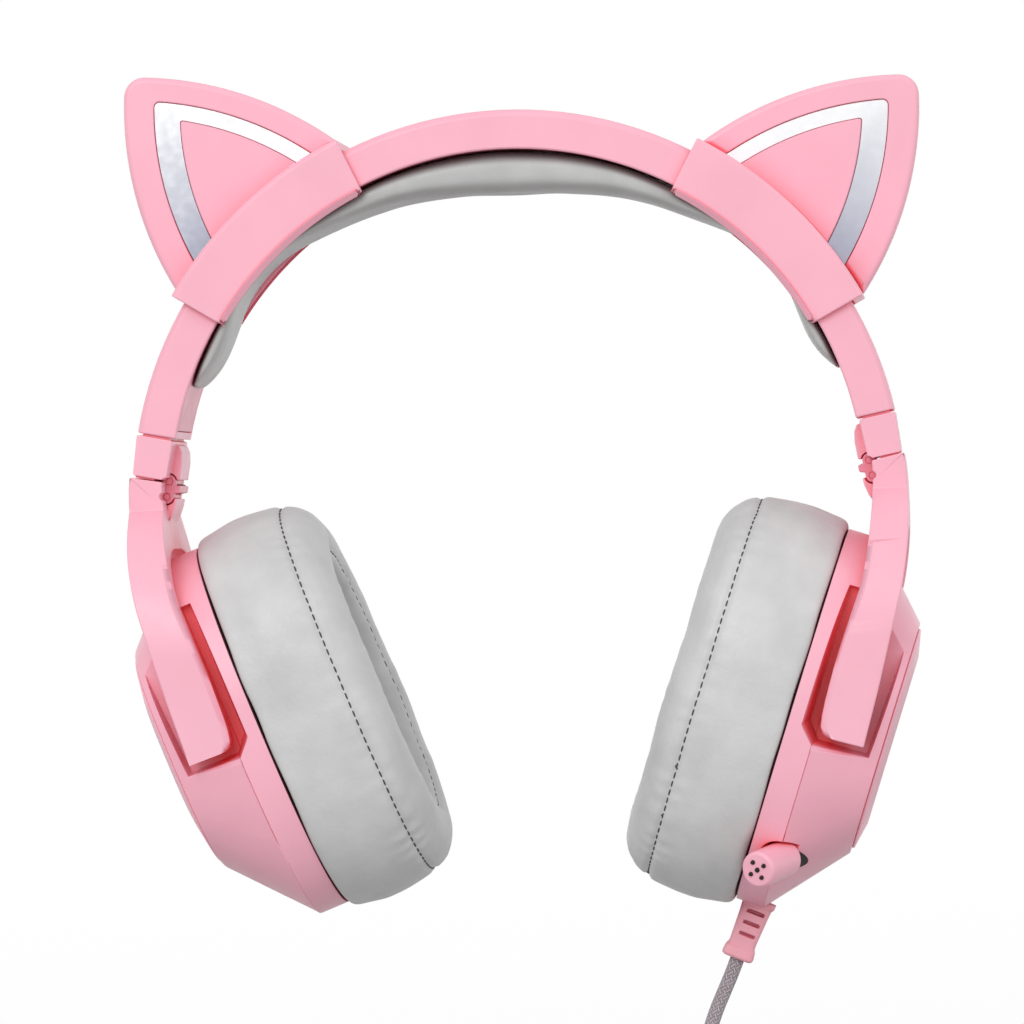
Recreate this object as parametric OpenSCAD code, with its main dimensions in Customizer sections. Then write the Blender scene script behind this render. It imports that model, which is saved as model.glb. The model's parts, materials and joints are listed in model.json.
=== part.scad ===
// Over-ear gaming headset with clip-on cat ears, folding yokes and a slide-out microphone.
// Millimetres, +Z up. The front faces -Y, and the wearer's left cup is on +X.
// The origin is the middle of the headband pad's underside, where the headset rests on a head.
// Paired pieces are drawn for the left side and mirrored to the right.

/* [Headband] */
// Outer radius of the headband's arc
band_r = 93.5; // [92:0.5:95]
// Radial thickness of the headband
band_t = 9.5; // [9.5:0.5:11]
// Width of the headband from front to back
band_w = 36; // [36:1:40]
// Wall of the headband shell
band_wall = 1.4; // [1.2:0.1:1.4]
// Angle from the top to each end of the headband
band_end = 78.8; // [77:0.1:80]
// Thickness of the pad under the top of the headband
pad_t = 11; // [9:0.5:13]
// Width of the pad from front to back
pad_w = 30; // [26:1:31]

/* [Cat ears] */
// Angle from the top to the middle of the left ear
ear_left = 45.1; // [38:0.1:46]
// Angle from the top to the middle of the right ear
ear_right = 41.7; // [38:0.1:46]
// Length of an ear clip along the headband, in degrees
clip_span = 33; // [30:1:34]
// Wall of an ear clip
clip_wall = 2; // [1.6:0.1:2.4]
// Radius from the headband's centre to an ear's tip
ear_tip_r = 139; // [135:1:145]
// Thickness of an ear from front to back
ear_t = 8; // [7:0.5:10]
// Width of the ear's border, on its outer and its inner edge
ear_rim = [7.4, 5.8]; // [5:0.1:8]
// Width of the mirror strip, on the ear's outer and inner edge
ear_strip = [6.4, 4]; // [3:0.1:7]

/* [Sliders and folding hinges] */
// Length of a slider block
block_l = 9.8; // [9.5:0.1:11.5]
// Width of a slider strip
strip_w = 16; // [12:1:18]
// Thickness of a slider strip
strip_t = 1.2; // [1:0.1:1.3]
// Distance between the two hinge pins
pin_gap = 3.8; // [3.8:0.1:4.2]
// Radius of a hinge pin
hinge_pin_r = 0.8; // [0.7:0.05:0.9]

/* [Cups] */
// Tilt of a cup, bottom towards the head
cup_tilt = 20; // [19:0.5:21]
// Swing of both yokes and cups towards the wearer's left, at rest
sway = 1.3; // [0:0.1:1.5]
// Half width of the cup's rim, front to back
cup_a = 40; // [39:0.5:41]
// Half height of the cup's rim
cup_b = 47; // [46:0.5:48]
// Depth of the cup's ring behind the cushion
ring_d = 7; // [6.5:0.5:7.5]
// Depth of the cup from its seam to the outer face
cup_d = 23.2; // [23:0.1:25]
// Wall of the cup's shell
cup_wall = 2.4; // [2:0.1:2.6]
// Radius of a cup pivot pin
pivot_r = 2.5; // [2:0.1:2.8]
// Depth of an ear cushion
cushion_d = 30.5; // [27:0.5:32]

/* [Microphone and controls] */
// Radius of the microphone's tip
mic_r = 4.4; // [3.6:0.1:4.4]
// Radius of the arc that the microphone's stem follows
mic_arc_r = 60; // [56:1:64]
// Radius of the volume wheel
wheel_r = 8; // [7:0.5:8.5]
// Radius of the mute button
button_r = 3; // [2.5:0.1:3.2]

/* [Cord] */
// Diameter of the cord
cord_d = 3.5; // [3.2:0.1:3.6]
// Turns in each column of the coil, and columns side by side
coil_rows = 4; // [3:1:5]
// Mean diameter of the coil, in cord diameters
coil_mean = 11.6; // [10:0.2:12]

/* [Hidden] */
$fn = 96;
run_gap = 0.05;    // radial clearance of a shaft that turns
free_gap = 0.3;    // clearance between pieces that move apart
arc_z = -(band_r - band_t - pad_t);
band_in = band_r - band_t;
cavity_r = band_r - band_wall;
plate_t = 1.5;
strip_r = band_in + plate_t + free_gap;
strip_in = 28;     // length of slider strip inside the headband

// Cup frame: origin in the middle of the seam, X outwards, Z up along the cup
cup_x = 63.4;
cup_z = -54.5;
pivot_at = [13.5, 7];
outer_a = 33;
outer_b = 29.1;
outer_rise = 0.9;
arm_y = [32.5, 39.5];
recess_floor = 28;
boss_y = 23;

// Hinge pins, in the slider's frame: X along the slider, Z away from the headband's centre
pin_r_at = band_in + 0.8;
pin_u = [block_l + 0.8, block_l + 0.8 + pin_gap];
knuckle_r = 1.7;
finger_w = 5.6;
link_w = 9.8;
block_face = band_r - 0.6;

// Each ear edge is an arc through the base corner, tangent to the round tip
edge_r = 84;
tip_r = 5;
clip_top = band_r + free_gap + clip_wall + 1;
base_a = clip_span / 2 - 0.3;
base = clip_top * [sin(base_a), cos(base_a)];
tip_y = ear_tip_r - tip_r;
// The arc's centre is at [-edge_c[0], edge_c[1]]
edge_k = (pow(edge_r, 2) - pow(edge_r - tip_r, 2) + tip_y * tip_y - base * base) / 2;
edge_m = edge_k / (tip_y - base[1]);
edge_s = base[0] / (tip_y - base[1]);
edge_n = tip_y - edge_m;
edge_q = 1 + edge_s * edge_s;
edge_x = (-edge_n * edge_s + sqrt(pow(edge_n * edge_s, 2)
    - edge_q * (edge_n * edge_n - pow(edge_r - tip_r, 2)))) / edge_q;
edge_c = [edge_x, edge_m - edge_s * edge_x];

// Headband pad: angle from the top and thickness, from its middle to its end
pad_under = [[0, pad_t - 0.1], [10, 9.8], [19, 7.8], [25, 6.6], [31, 5.4], [37, 3.8], [43, 2.2], [48, 1.6],
    [54, 2.4], [59, 3.7], [63, 4.1], [66, 3.5], [68.5, 2.2], [70, 0.8]];

// Yoke arm, front view from the headband's centre, top to bottom
arm_outer = [[93.5, 9.5], [94.2, 4], [94.3, -3.5], [93.9, -12.5], [92.3, -22.5], [89.7, -32],
    [85.5, -47], [80.7, -62.5]];
arm_inner = [[73.9, -60.4], [70.8, -57], [74.5, -43.5], [78.8, -32], [82.4, -22.5], [84.5, -12.5],
    [85.7, -3.5], [86.1, 3.5], [85.8, 9]];

// Microphone: where its axis meets the cup's side, and how it leaves
mic_at = [8.4, -30.2, -33];
mic_drop = 17;
mic_lean = 24;
mic_stem_r = 2.2;
mic_tip_l = 13;
mic_stem_span = 44;

// Screws that hold the ring to the shell: Y and Z in the cup frame
screw_at = [[-12, 40], [12, 40], [-15, -39.5], [15, -39.5]];

wheel_at = [11.5, 28.7, -19];
wheel_t = 3.4;
button_at = [12.2, 26.8, -34];
button_turn = -52;

// Strain relief, from its root in the ring: cup frame
relief_at = [5.4, 0, -46.4];
relief_lean = 3.8;
relief_l = 14.5;
relief_shoulder = 1.6;

// Cord, from the headband's centre, down to where it joins the coil
coil_r = coil_mean * cord_d / 2;
coil_w = coil_rows * cord_d;
coil_at = [41, 0, -173.5];
join_a = 20;       // heading over the horizontal where the cord leaves the coil
join_r = 12;
last_r = coil_r + (coil_rows - 1) * cord_d / 2;
tail_x = coil_at[0] - last_r;
tail_l = 12;
cord_y = -1.5 * cord_d;
join = [coil_at[0] - last_r * sin(join_a), cord_y, coil_at[2] + last_r * cos(join_a)];
cord_route = concat(
    [[49.4, 0, -114.1], [47.8, -0.2, -118], [46, -0.8, -122], [44.2, -1.9, -126],
     [42.7, -3.1, -130], [41.5, -4.2, -134], [40.7, -4.9, -137]],
    [for (a = [85:-13:join_a]) join + join_r * [sin(a) - sin(join_a), 0, cos(join_a) - cos(a)]]);

SIDES = ["left", "right"];
PAIRED = ["ear_clip", "ear_frame", "ear_mirror", "ear_panel", "slider_strip", "slider_block",
    "hinge_link", "hinge_pins", "yoke", "pivot_pins", "cup_shell", "cup_cover", "cup_ring",
    "baffle", "driver", "speaker_cloth", "gasket", "ear_cushion", "cup_screws"];

pink = [0.98, 0.7, 0.78];
deep_pink = [0.93, 0.6, 0.69];
grey = [0.76, 0.76, 0.76];
steel = [0.75, 0.76, 0.78];
black = [0.12, 0.12, 0.13];

// Frames
module at_band() { translate([0, 0, arc_z]) children(); }
module at_slider() { at_band() rotate([0, band_end, 0]) children(); }
module at_hang() {
    at_slider() translate([pin_u[1], 0, pin_r_at]) rotate([0, $hang, 0]) translate([-pin_u[1], 0, -pin_r_at])
        rotate([0, -band_end, 0]) translate([0, 0, -arc_z]) children();
}
module at_cup() { at_hang() at_band() translate([cup_x, 0, cup_z]) rotate([0, cup_tilt, 0]) children(); }
module at_mic() { at_cup() translate(mic_at) rotate([90 + mic_drop, 0, -mic_lean]) children(); }
module at_button() { at_cup() translate(button_at) rotate([button_turn, 0, 0]) children(); }
module at_relief() { at_cup() translate(relief_at) rotate([180, relief_lean, 0]) children(); }
module at_ear(angle) { at_band() rotate([0, angle, 0]) children(); }

// Solids between two X planes from an outline in Y and Z, and between two Y planes in X and Z
module across_x(from, to) { translate([from, 0, 0]) rotate([90, 0, 90]) linear_extrude(to - from) children(); }
module across_y(from, to) { translate([0, to, 0]) rotate([90, 0, 0]) linear_extrude(to - from) children(); }
module both_y(from, to) { across_y(from, to) children(); across_y(-to, -from) children(); }
// An outline in radius and Y swept round the headband's centre, angles from the top
module around_band(from, to) {
    at_band() rotate([90, 0, 0]) rotate([0, 0, 90 - to]) rotate_extrude(angle = to - from) children();
}

function superoval(a, b, e, n = 72) = [for (i = [0:n - 1]) let (c = cos(360 * i / n), s = sin(360 * i / n))
    [a * sign(c) * pow(abs(c), 2 / e), b * sign(s) * pow(abs(s), 2 / e)]];
module rim_outline(inset = 0) { polygon(superoval(cup_a - inset, cup_b - inset, 2.4)); }
module outer_outline(inset = 0) {
    translate([0, outer_rise]) polygon(superoval(outer_a - inset, outer_b - inset, 2.8));
}

// A smooth line through hand-placed points
function smooth(p, steps = 4) = [for (i = [0:len(p) - 2], k = [0:steps - 1])
    let (t = k / steps, a = p[max(i - 1, 0)], b = p[i], c = p[i + 1], d = p[min(i + 2, len(p) - 1)])
    b + (c - a) * t / 2 + (2 * a - 5 * b + 4 * c - d) * t * t / 2 + (3 * b - a - 3 * c + d) * t * t * t / 2];

// Headband
module band_section(inset = 0) {
    h = band_w / 2 - inset;
    c = 1.2;
    polygon([[band_in, -h], [band_r - c, -h], [band_r, c - h], [band_r, h - c], [band_r - c, h], [band_in, h]]);
}
module headband_shell() {
    cavity_h = band_w / 2 - 1.6;
    color(pink) difference() {
        around_band(-band_end, band_end) band_section();
        around_band(1.2 - band_end, band_end - 1.2)
            translate([band_in - 1, -cavity_h]) square([cavity_r - band_in + 1, 2 * cavity_h]);
        for (m = [0, 1]) mirror([m, 0, 0]) at_slider()
            translate([-5, -strip_w / 2 - free_gap, strip_r - free_gap])
                cube([10, strip_w + 2 * free_gap, strip_t + 2 * free_gap]);
    }
}
module headband_inner_plate() {
    h = band_w / 2 - 1.7;
    color(deep_pink) around_band(1.3 - band_end, band_end - 1.3)
        translate([band_in, -h]) square([plate_t, 2 * h]);
}
module headband_spring() {
    color(steel) around_band(-54, 54) translate([band_in + 3.2, -8]) square([1, 16]);
}
module headband_pad() {
    r = band_in - 0.1;
    last = len(pad_under) - 1;
    inner = smooth(concat([for (i = [last:-1:1]) [-pad_under[i][0], pad_under[i][1]]], pad_under));
    color(grey) at_band() across_y(-pad_w / 2, pad_w / 2) polygon(concat(
        [for (i = [0:70]) r * [sin(2 * i - 70), cos(2 * i - 70)]],
        [for (i = [len(inner) - 1:-1:0]) (r - inner[i][1]) * [sin(inner[i][0]), cos(inner[i][0])]]));
}

// Cat ears
module ear_clip(angle) {
    side = band_w / 2 + free_gap;
    out = side + clip_wall;
    low = band_in - 1.5;
    c = 0.8;
    color(pink) around_band(angle - clip_span / 2, angle + clip_span / 2) polygon([
        [low, side], [low, out - c / 2], [low + c / 2, out], [clip_top - c, out], [clip_top, out - c],
        [clip_top, c - out], [clip_top - c, -out], [low + c / 2, -out], [low, c / 2 - out], [low, -side],
        [band_r + free_gap, -side], [band_r + free_gap, side]]);
}
// An ear's outline, moved in by one inset from its outer edge and one from its inner edge, with a round tip
module ear_outline(outer_in, inner_in, round_r) {
    a = edge_r - outer_in;
    b = edge_r - inner_in;
    x = (pow(a - round_r, 2) - pow(b - round_r, 2)) / (4 * edge_c[0]);
    tip = [x, edge_c[1] + sqrt(pow(a - round_r, 2) - pow(x + edge_c[0], 2))];
    // where the tip's circle meets the edges
    outer_meet = tip + round_r * (tip - [-edge_c[0], edge_c[1]]) / (a - round_r);
    inner_meet = tip + round_r * (tip - edge_c) / (b - round_r);
    difference() {
        intersection() {
            translate([-edge_c[0], edge_c[1]]) circle(a, $fn = 180);
            translate(edge_c) circle(b, $fn = 180);
            polygon([[-40, 80], [40, 80], [40, outer_meet[1]], outer_meet, inner_meet, [-40, inner_meet[1]]]);
        }
        circle(clip_top, $fn = 180);
    }
    translate(tip) circle(round_r, $fn = 48);
}
module ear_frame(angle) {
    color(pink) at_ear(angle) difference() {
        across_y(-ear_t / 2, ear_t / 2) ear_outline(0, 0, tip_r);
        across_y(-ear_t / 2 - 1, 1.8 - ear_t / 2) ear_outline(ear_rim[0], ear_rim[1], 1.5);
    }
}
module ear_mirror(angle) {
    color(steel) at_ear(angle) across_y(0.5 - ear_t / 2, 1.8 - ear_t / 2) difference() {
        ear_outline(ear_rim[0] + 0.1, ear_rim[1] + 0.1, 1.4);
        ear_outline(ear_rim[0] + ear_strip[0], ear_rim[1] + ear_strip[1], 0.6);
    }
}
module ear_panel(angle) {
    color(pink) at_ear(angle) across_y(0.2 - ear_t / 2, 1.8 - ear_t / 2)
        ear_outline(ear_rim[0] + ear_strip[0] + 0.1, ear_rim[1] + ear_strip[1] + 0.1, 0.6);
}

// Sliders and folding hinges
module slider_strip() {
    color(steel) at_slider() difference() {
        translate([-strip_in, -strip_w / 2, strip_r]) cube([strip_in + 8, strip_w, strip_t]);
        for (i = [0:6], s = [-1, 1]) translate([-20 + 3 * i, s * strip_w / 2, strip_r - 1])
            cylinder(r = 0.7, h = strip_t + 2, $fn = 24);
    }
}
// Where the link's plates and the fingers turn
module hinge_round(grow) {
    for (u = pin_u) translate([u, pin_r_at]) circle(knuckle_r + grow, $fn = 48);
    translate([pin_u[0], pin_r_at - knuckle_r - grow]) square([pin_gap, 2 * (knuckle_r + grow)]);
}
module hinge_bore(u, r) {
    translate([u, 0, pin_r_at]) rotate([90, 0, 0]) cylinder(r = r, h = 60, center = true, $fn = 32);
}
module slider_block() {
    low = band_in + 0.7;
    h = band_w / 2;
    color(pink) at_slider() difference() {
        union() {
            across_y(-h, h) polygon([[0.6, low + 0.3], [0.9, low], [block_l + 0.3, low],
                [block_l + 0.6, low + 0.3], [block_l + 0.6, block_face - 0.4], [block_l + 0.2, block_face],
                [0.6, band_r]]);
            // upper knuckle
            across_y(-link_w, link_w) polygon([[1.2, low + 1], [1.6, low - 1], [3, low - 1.9], [5.5, low - 2.4],
                [block_l, low - 2.5], [block_l + 0.4, low + 1]]);
            // finger on the upper pin
            across_y(-finger_w, finger_w) {
                translate([pin_u[0], pin_r_at]) circle(knuckle_r, $fn = 48);
                translate([pin_u[0] - 4, pin_r_at - knuckle_r]) square([4, 2 * knuckle_r]);
            }
        }
        // room for the link's plates
        both_y(finger_w, link_w + free_gap) hinge_round(free_gap);
        hinge_bore(pin_u[0], hinge_pin_r + run_gap);
        // the strip is pressed in
        translate([-1, -strip_w / 2, strip_r]) cube([9, strip_w, strip_t]);
    }
}
module hinge_link() {
    inner = pin_r_at - 3;
    color(deep_pink) at_slider() difference() {
        union() {
            both_y(finger_w + free_gap, link_w) {
                hinge_round(0);
                polygon([[pin_u[0] + 0.7, inner], [pin_u[0] + 0.5, pin_r_at], [pin_u[1] - 0.6, pin_r_at],
                    [pin_u[0] + 2.3, inner]]);
            }
            across_y(-link_w, link_w) polygon([[pin_u[0] + 0.7, inner], [pin_u[0] + 0.55, pin_r_at - 2.1],
                [pin_u[1] - 1.4, pin_r_at - 2.1], [pin_u[0] + 2.3, inner]]);
        }
        for (u = pin_u) hinge_bore(u, hinge_pin_r);
    }
}
module hinge_pins() {
    color(steel) at_slider() for (u = pin_u) translate([u, 0, pin_r_at]) rotate([90, 0, 0])
        cylinder(r = hinge_pin_r, h = 2 * link_w, center = true, $fn = 32);
}

// Yokes: the front view crossed with the side view
module yoke_side_view() {
    difference() {
        union() {
            translate([0, -36]) circle(arm_y[1]);
            translate([-arm_y[1], -70]) square([2 * arm_y[1], 34]);
            translate([-band_w / 2, -20]) square([band_w, 30]);
        }
        translate([0, -43]) polygon(superoval(arm_y[0], arm_y[0], 3.4));
        translate([-arm_y[0], -80]) square([2 * arm_y[0], 37]);
    }
}
module yoke_front_view() {
    polygon(concat(smooth(arm_outer), [arm_outer[len(arm_outer) - 1]], smooth(arm_inner),
        [arm_inner[len(arm_inner) - 1]]));
}
module yoke() {
    low = band_in + 0.7;
    color(pink) at_hang() difference() {
        union() {
            intersection() {
                at_band() across_y(-50, 50) yoke_front_view();
                at_band() across_x(60, 110) yoke_side_view();
                at_slider() translate([block_l + 1.1, -50, 40]) cube([90, 100, 80]);
            }
            // lower knuckle
            at_slider() across_y(-link_w, link_w) polygon([[pin_u[1] - 0.1, low + 1.5],
                [pin_u[1] + 0.1, low - 2.5], [pin_u[1] + 1.8, low - 2.5], [pin_u[1] + 4.4, low - 2],
                [pin_u[1] + 6.8, low - 0.8], [pin_u[1] + 8.6, low + 0.9], [pin_u[1] + 8.6, low + 3]]);
            // finger on the lower pin
            at_slider() across_y(-finger_w, finger_w) {
                translate([pin_u[1], pin_r_at]) circle(knuckle_r, $fn = 48);
                translate([pin_u[1], pin_r_at - knuckle_r]) square([4, 2 * knuckle_r]);
            }
        }
        at_slider() {
            // room for the link's plates, and for the finger on the upper pin
            both_y(finger_w, link_w + free_gap) hinge_round(free_gap);
            across_y(-link_w - free_gap, link_w + free_gap)
                translate([block_l, pin_r_at - 2.1]) square([2.85, 4.5]);
            hinge_bore(pin_u[1], hinge_pin_r + run_gap);
        }
        at_band() translate([cup_x, 0, cup_z]) rotate([0, cup_tilt, 0])
            pivot_holes(arm_y[0] - 1, arm_y[0] + 3.5, pivot_r);
    }
}
module pivot_holes(from, to, r) {
    for (s = [-1, 1]) translate([pivot_at[0], s * from, pivot_at[1]])
        rotate([-90 * s, 0, 0]) cylinder(r = r, h = to - from);
}
module pivot_pins() { color(steel) at_cup() pivot_holes(boss_y + 1, arm_y[0] + 3.5, pivot_r); }

// Cups
// The pocket in the cup's side that a yoke arm lies in
module recess(grow = 0) {
    for (m = [0, 1]) mirror([0, m, 0]) hull() {
        translate([0, 0.05 - recess_floor + grow, 0]) rotate([90, 0, 0]) linear_extrude(0.1)
            polygon([[4.8 - grow, 0.8 - grow / 2], [8 - grow / 2, -3.2 - grow], [20.2 + grow, -3.2 - grow],
                [22 + grow, 34 + grow], [4.8 - grow, 34 + grow]]);
        translate([0, -42.95, 0]) rotate([90, 0, 0]) linear_extrude(0.1)
            polygon([[2.9 - grow, -1 - grow / 2], [6.5 - grow / 2, -5 - grow], [22 + grow, -5 - grow],
                [23.4 + grow, 37 + grow], [2.9 - grow, 37 + grow]]);
    }
}
module relief_slot() { translate([0.9, -3.3, -50]) cube([8.7, 6.6, 9]); }
module mic_hole(r, from, to) { translate([0, 0, from]) cylinder(r = r, h = to - from, $fn = 64); }
module cup_shell(side) {
    left = side == "left";
    color(pink) difference() {
        hull() {
            across_x(ring_d, ring_d + 0.1) rim_outline();
            across_x(cup_d - 0.1, cup_d) outer_outline();
        }
        difference() {
            hull() {
                across_x(ring_d - 0.1, ring_d) rim_outline(cup_wall);
                across_x(cup_d - cup_wall - 0.1, cup_d - cup_wall) outer_outline(cup_wall);
            }
            recess(cup_wall - 0.4);
            for (s = [-1, 1]) translate([pivot_at[0], s * boss_y, pivot_at[1]])
                rotate([-90 * s, 0, 0]) cylinder(r = pivot_r + 3, h = recess_floor - boss_y);
            for (p = screw_at) translate([ring_d, p[0], p[1]]) rotate([0, 90, 0])
                cylinder(r = 2.6, h = 20, $fn = 32);
            if (left) translate(mic_at) rotate([90 + mic_drop, 0, -mic_lean]) mic_hole(mic_r + 2, -7, 1);
        }
        recess();
        for (s = [-1, 1]) translate([pivot_at[0], s * (boss_y - 1), pivot_at[1]])
            rotate([-90 * s, 0, 0]) cylinder(r = pivot_r + run_gap, h = recess_floor - boss_y + 3);
        for (p = screw_at) translate([ring_d - 1, p[0], p[1]]) rotate([0, 90, 0])
            cylinder(r = 1.2, h = 8, $fn = 32);
        if (left) {
            translate(mic_at) rotate([90 + mic_drop, 0, -mic_lean]) {
                mic_hole(mic_r + 0.6, -1.5, 20);
                mic_hole(3.4, -8, 0);
                mic_arc(mic_stem_r + 0.6, mic_stem_span + 4);
            }
            relief_slot();
            translate([wheel_at[0] - wheel_t / 2 - 0.6, wheel_at[1] - wheel_r - 0.6, wheel_at[2] - wheel_r - 0.6])
                cube([wheel_t + 1.2, 30, 2 * wheel_r + 1.2]);
            translate(button_at) rotate([button_turn, 0, 0]) {
                translate([0, 0, -6]) cylinder(r = button_r + free_gap, h = 12, $fn = 48);
                translate([0, 0, -9]) cylinder(r = button_r + 1 + free_gap, h = 7.3, $fn = 48);
            }
        }
    }
}
module cup_cover() {
    color(pink) hull() {
        across_x(cup_d, cup_d + 0.6) outer_outline(1.3);
        across_x(cup_d + 1.9, cup_d + 2) outer_outline(8);
    }
}
module cup_ring(side) {
    left = side == "left";
    color(pink) difference() {
        across_x(0, ring_d) rim_outline();
        difference() {
            across_x(-1, ring_d + 1) rim_outline(3.5);
            recess(cup_wall - 0.4);
            for (p = screw_at) translate([2.2, p[0], p[1]]) rotate([0, 90, 0])
                cylinder(r = 2.8, h = ring_d - 2.2, $fn = 32);
        }
        recess();
        for (p = screw_at) translate([-1, p[0], p[1]]) rotate([0, 90, 0]) {
            cylinder(r = 1.3, h = 20, $fn = 32);
            cylinder(r = 2.5, h = 1.8, $fn = 32);
        }
        if (left) {
            relief_slot();
            translate(mic_at) rotate([90 + mic_drop, 0, -mic_lean]) mic_hole(mic_r + 0.6, -3, 20);
        }
    }
}
module cup_screws() {
    color(steel) for (p = screw_at) translate([-0.2, p[0], p[1]]) rotate([0, 90, 0]) {
        cylinder(r = 2.2, h = 0.8, $fn = 32);
        cylinder(r = 1.2, h = 10, $fn = 32);
    }
}
module baffle() {
    color(black) difference() {
        across_x(0.6, 2) rim_outline(3.7);
        recess(cup_wall - 0.2);
        for (p = screw_at) translate([-1, p[0], p[1]]) rotate([0, 90, 0]) cylinder(r = 1.4, h = 8, $fn = 32);
        for (ring = [0:2], i = [0:max(6 * ring, 1) - 1]) let (a = 360 * i / max(6 * ring, 1))
            translate([-1, 5.5 * ring * cos(a), 5.5 * ring * sin(a)]) rotate([0, 90, 0])
                cylinder(r = 1.6, h = 8, $fn = 24);
    }
}
module driver() {
    color(black) rotate([0, 90, 0]) rotate_extrude() polygon([[0, 2], [20, 2], [20, 3.6], [17, 5.5], [13, 7],
        [13, 12.5], [0, 12.5]]);
}
module speaker_cloth() { color(black) across_x(-1.4, -0.6) polygon(superoval(24, 32, 2.2)); }
module gasket() {
    color(black) across_x(-0.6, 0) difference() {
        rim_outline(0.9);
        rim_outline(7);
        for (p = screw_at) translate(p) circle(2.4, $fn = 32);
    }
}
module ear_cushion() {
    color(grey) difference() {
        hull() {
            across_x(-0.8, -0.7) polygon(superoval(39.6, 46.8, 2.4));
            across_x(-12, -8) polygon(superoval(41.6, 50, 2.4));
            across_x(-22.5, -22.4) polygon(superoval(40, 48.3, 2.4));
            across_x(-27, -26.9) polygon(superoval(37, 45, 2.4));
            across_x(-cushion_d, 0.1 - cushion_d) polygon(superoval(30, 38, 2.3));
        }
        across_x(-cushion_d - 1, 1) polygon(superoval(21, 29, 2.2));
        across_x(-2.2, 1) polygon(superoval(25, 33, 2.2));
    }
}

// Microphone: the stem is an arc, and slides round that arc's centre
module mic_arc(r, span) {
    translate([-mic_arc_r, 0, -0.8]) rotate([90, 0, 0]) rotate([0, 0, -span])
        rotate_extrude(angle = span) translate([mic_arc_r, 0]) circle(r, $fn = 48);
}
module mic_tip() {
    color(pink) at_mic() difference() {
        translate([0, 0, -0.8]) rotate_extrude() polygon([[0, 0], [mic_r, 0], [mic_r, mic_tip_l + 0.2],
            [mic_r - 0.6, mic_tip_l + 0.8], [0, mic_tip_l + 0.8]]);
        translate([0, 0, mic_tip_l - 1.4]) {
            cylinder(r = 0.5, h = 3, $fn = 24);
            for (a = [45:90:315]) rotate([0, 0, a]) translate([2.1, 0, 0]) cylinder(r = 0.45, h = 3, $fn = 24);
        }
    }
}
module mic_stem() {
    color(steel) at_mic() mic_arc(mic_stem_r, mic_stem_span);
}
module mic_bushing() {
    color(black) at_mic() translate([0, 0, -6.5]) difference() {
        cylinder(r = 3.4, h = 4.5, $fn = 48);
        translate([0, 0, -1]) cylinder(r = mic_stem_r + 0.6, h = 8, $fn = 48);
    }
}

// Controls behind the left cup
module circuit_board() { color([0.1, 0.35, 0.2]) translate([18.4, -16, -8]) cube([1.6, 32, 30]); }
module volume_wheel() {
    color(deep_pink) translate(wheel_at) rotate([0, 90, 0]) difference() {
        cylinder(r = wheel_r, h = wheel_t, center = true);
        cylinder(r = 1.5 + run_gap, h = 9, center = true, $fn = 32);
        for (a = [0:15:345]) rotate([0, 0, a]) translate([wheel_r + 0.1, 0, 0])
            cylinder(r = 0.5, h = 9, center = true, $fn = 16);
    }
}
module volume_potentiometer() {
    color(black) translate(wheel_at) rotate([0, 90, 0]) {
        translate([0, 0, -wheel_t / 2 - 1]) cylinder(r = 1.5, h = wheel_t + 0.8, $fn = 32);
        translate([0, 0, -wheel_t / 2 - 3.4]) cylinder(r = 4.5, h = 3);
    }
}
module mute_button() {
    color(deep_pink) translate([0, 0, -3]) rotate_extrude() polygon([[0, 0], [button_r + 1, 0], [button_r + 1, 1],
        [button_r, 1], [button_r, 3.9], [button_r - 0.5, 4.4], [0, 4.4]]);
}

// Strain relief and cord
module strain_relief() {
    color(pink) at_relief() difference() {
        union() {
            translate([0, 0, -3]) cylinder(r = 2.3, h = 6, $fn = 48);
            translate([0, 0, -3]) cylinder(r = 2.9, h = 1, $fn = 48);
            across_y(-3.9, 3.9) polygon([[-4, relief_shoulder], [4, relief_shoulder], [3.6, relief_l], [-3.6, relief_l]]);
        }
        for (i = [0:2]) both_y(1.9, 5) translate([-2.6, 4.2 + 3.2 * i]) square([7, 1.3]);
    }
}
function unit(v) = v / norm(v);
function heading(p, i) = unit(p[min(i + 1, len(p) - 1)] - p[max(i - 1, 0)]);
// The cord lies near the XZ plane, so Y is never along it
module tube(p, r, sides = 8) {
    n = len(p);
    points = [for (i = [0:n - 1], k = [0:sides - 1]) let (h = heading(p, i), u = unit(cross([0, 1, 0], h)),
        w = cross(h, u), a = 360 * k / sides) p[i] + r * (cos(a) * u + sin(a) * w)];
    walls = [for (i = [0:n - 2], k = [0:sides - 1]) let (j = (k + 1) % sides)
        [i * sides + k, (i + 1) * sides + k, (i + 1) * sides + j, i * sides + j]];
    polyhedron(points, concat([[for (k = [0:sides - 1]) k]], walls,
        [[for (k = [sides - 1:-1:0]) (n - 1) * sides + k]]), convexity = 6);
}
module cord() {
    color([0.62, 0.57, 0.6]) at_band() tube(cord_route, cord_d / 2);
}
module cord_coil() {
    color([0.62, 0.57, 0.6]) at_band() {
        translate(coil_at) rotate([90, 0, 0]) rotate_extrude()
            translate([coil_r - coil_w / 2, -coil_w / 2]) square(coil_w);
    }
}
module cord_tie() {
    w = coil_w / 2;
    color(black) at_band() translate(coil_at) rotate([0, 35, 0]) translate([-3, 0, 0]) across_x(0, 6)
        translate([0, coil_r]) difference() {
            square(2 * w + 2.4, center = true);
            square(2 * w + 0.1, center = true);
        }
}
module at_plug() {
    at_band() translate([tail_x, cord_d * 1.5, coil_at[2] - tail_l]) rotate([180, 0, 0]) children();
}
module plug_body() {
    color(pink) at_plug() {
        translate([0, 0, -tail_l]) cylinder(r = cord_d / 2, h = tail_l);
        rotate_extrude() polygon([[0, -2], [2.4, -2], [3, 8], [4, 10], [4, 23], [3.4, 24], [0, 24]]);
    }
}
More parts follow.
